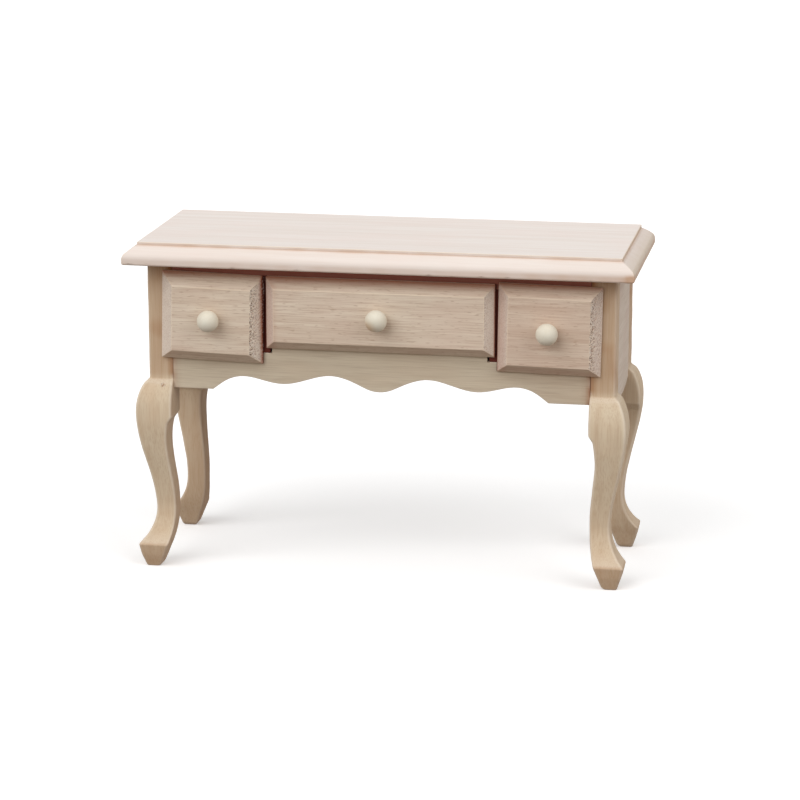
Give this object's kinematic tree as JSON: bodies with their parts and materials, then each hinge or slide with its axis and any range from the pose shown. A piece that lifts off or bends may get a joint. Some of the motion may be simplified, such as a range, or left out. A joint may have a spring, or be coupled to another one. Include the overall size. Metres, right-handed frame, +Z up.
{
  "type": "miniature dressing table",
  "caption": "Unfinished wooden doll's-house dressing table with a moulded top, sliding bevelled drawers with ball knobs, a scalloped apron and cabriole legs.",
  "frame": {"origin": "centre of the whole outline, knobs included, on the floor; the case's own centre is 0.83 mm further back", "axes": "+X to the right as seen from the front, +Y from front to back, +Z up; the drawers open along -Y"},
  "size_m": [0.095, 0.0406, 0.063],
  "materials": {
    "top_wood": "bare pale wood, finely sanded, grain along X",
    "apron_wood": "bare yellowish-grey wood, grain along X",
    "leg_wood": "bare tan wood, sawn and lightly sanded, grain along Z",
    "case_wood": "bare thin sheet wood, sanded",
    "drawer_front_wood": "bare tan wood, grain along X, rough end grain on the end bevels",
    "drawer_box_wood": "bare thin sheet wood",
    "knob_wood": "turned pale wood, satin smooth"
  },
  "bodies": {
    "carcass": {"top_board": "top_wood", "leg_front_left": "leg_wood", "leg_front_right": "leg_wood", "leg_back_left": "leg_wood", "leg_back_right": "leg_wood", "front_apron": "apron_wood", "top_rail": "case_wood", "side_panel_left": "case_wood", "side_panel_right": "case_wood", "back_panel": "case_wood", "case_bottom": "case_wood", "divider_left": "case_wood", "divider_right": "case_wood", "centre_runner_left": "case_wood", "centre_runner_right": "case_wood"},
    "drawer_left": {"drawer_left_front": "drawer_front_wood", "drawer_left_side_left": "drawer_box_wood", "drawer_left_side_right": "drawer_box_wood", "drawer_left_back": "drawer_box_wood", "drawer_left_bottom": "drawer_box_wood", "drawer_left_knob": "knob_wood"},
    "drawer_centre": {"drawer_centre_front": "drawer_front_wood", "drawer_centre_side_left": "drawer_box_wood", "drawer_centre_side_right": "drawer_box_wood", "drawer_centre_back": "drawer_box_wood", "drawer_centre_bottom": "drawer_box_wood", "drawer_centre_knob": "knob_wood"},
    "drawer_right": {"drawer_right_front": "drawer_front_wood", "drawer_right_side_left": "drawer_box_wood", "drawer_right_side_right": "drawer_box_wood", "drawer_right_back": "drawer_box_wood", "drawer_right_bottom": "drawer_box_wood", "drawer_right_knob": "knob_wood"}
  },
  "joints": [
    {"name": "drawer_left_slide", "type": "slide", "parent": "carcass", "child": "drawer_left", "axis": [0, -1, 0], "range_m": [0, 0.018]},
    {"name": "drawer_centre_slide", "type": "slide", "parent": "carcass", "child": "drawer_centre", "axis": [0, -1, 0], "range_m": [0, 0.018]},
    {"name": "drawer_right_slide", "type": "slide", "parent": "carcass", "child": "drawer_right", "axis": [0, -1, 0], "range_m": [0, 0.018]}
  ]
}
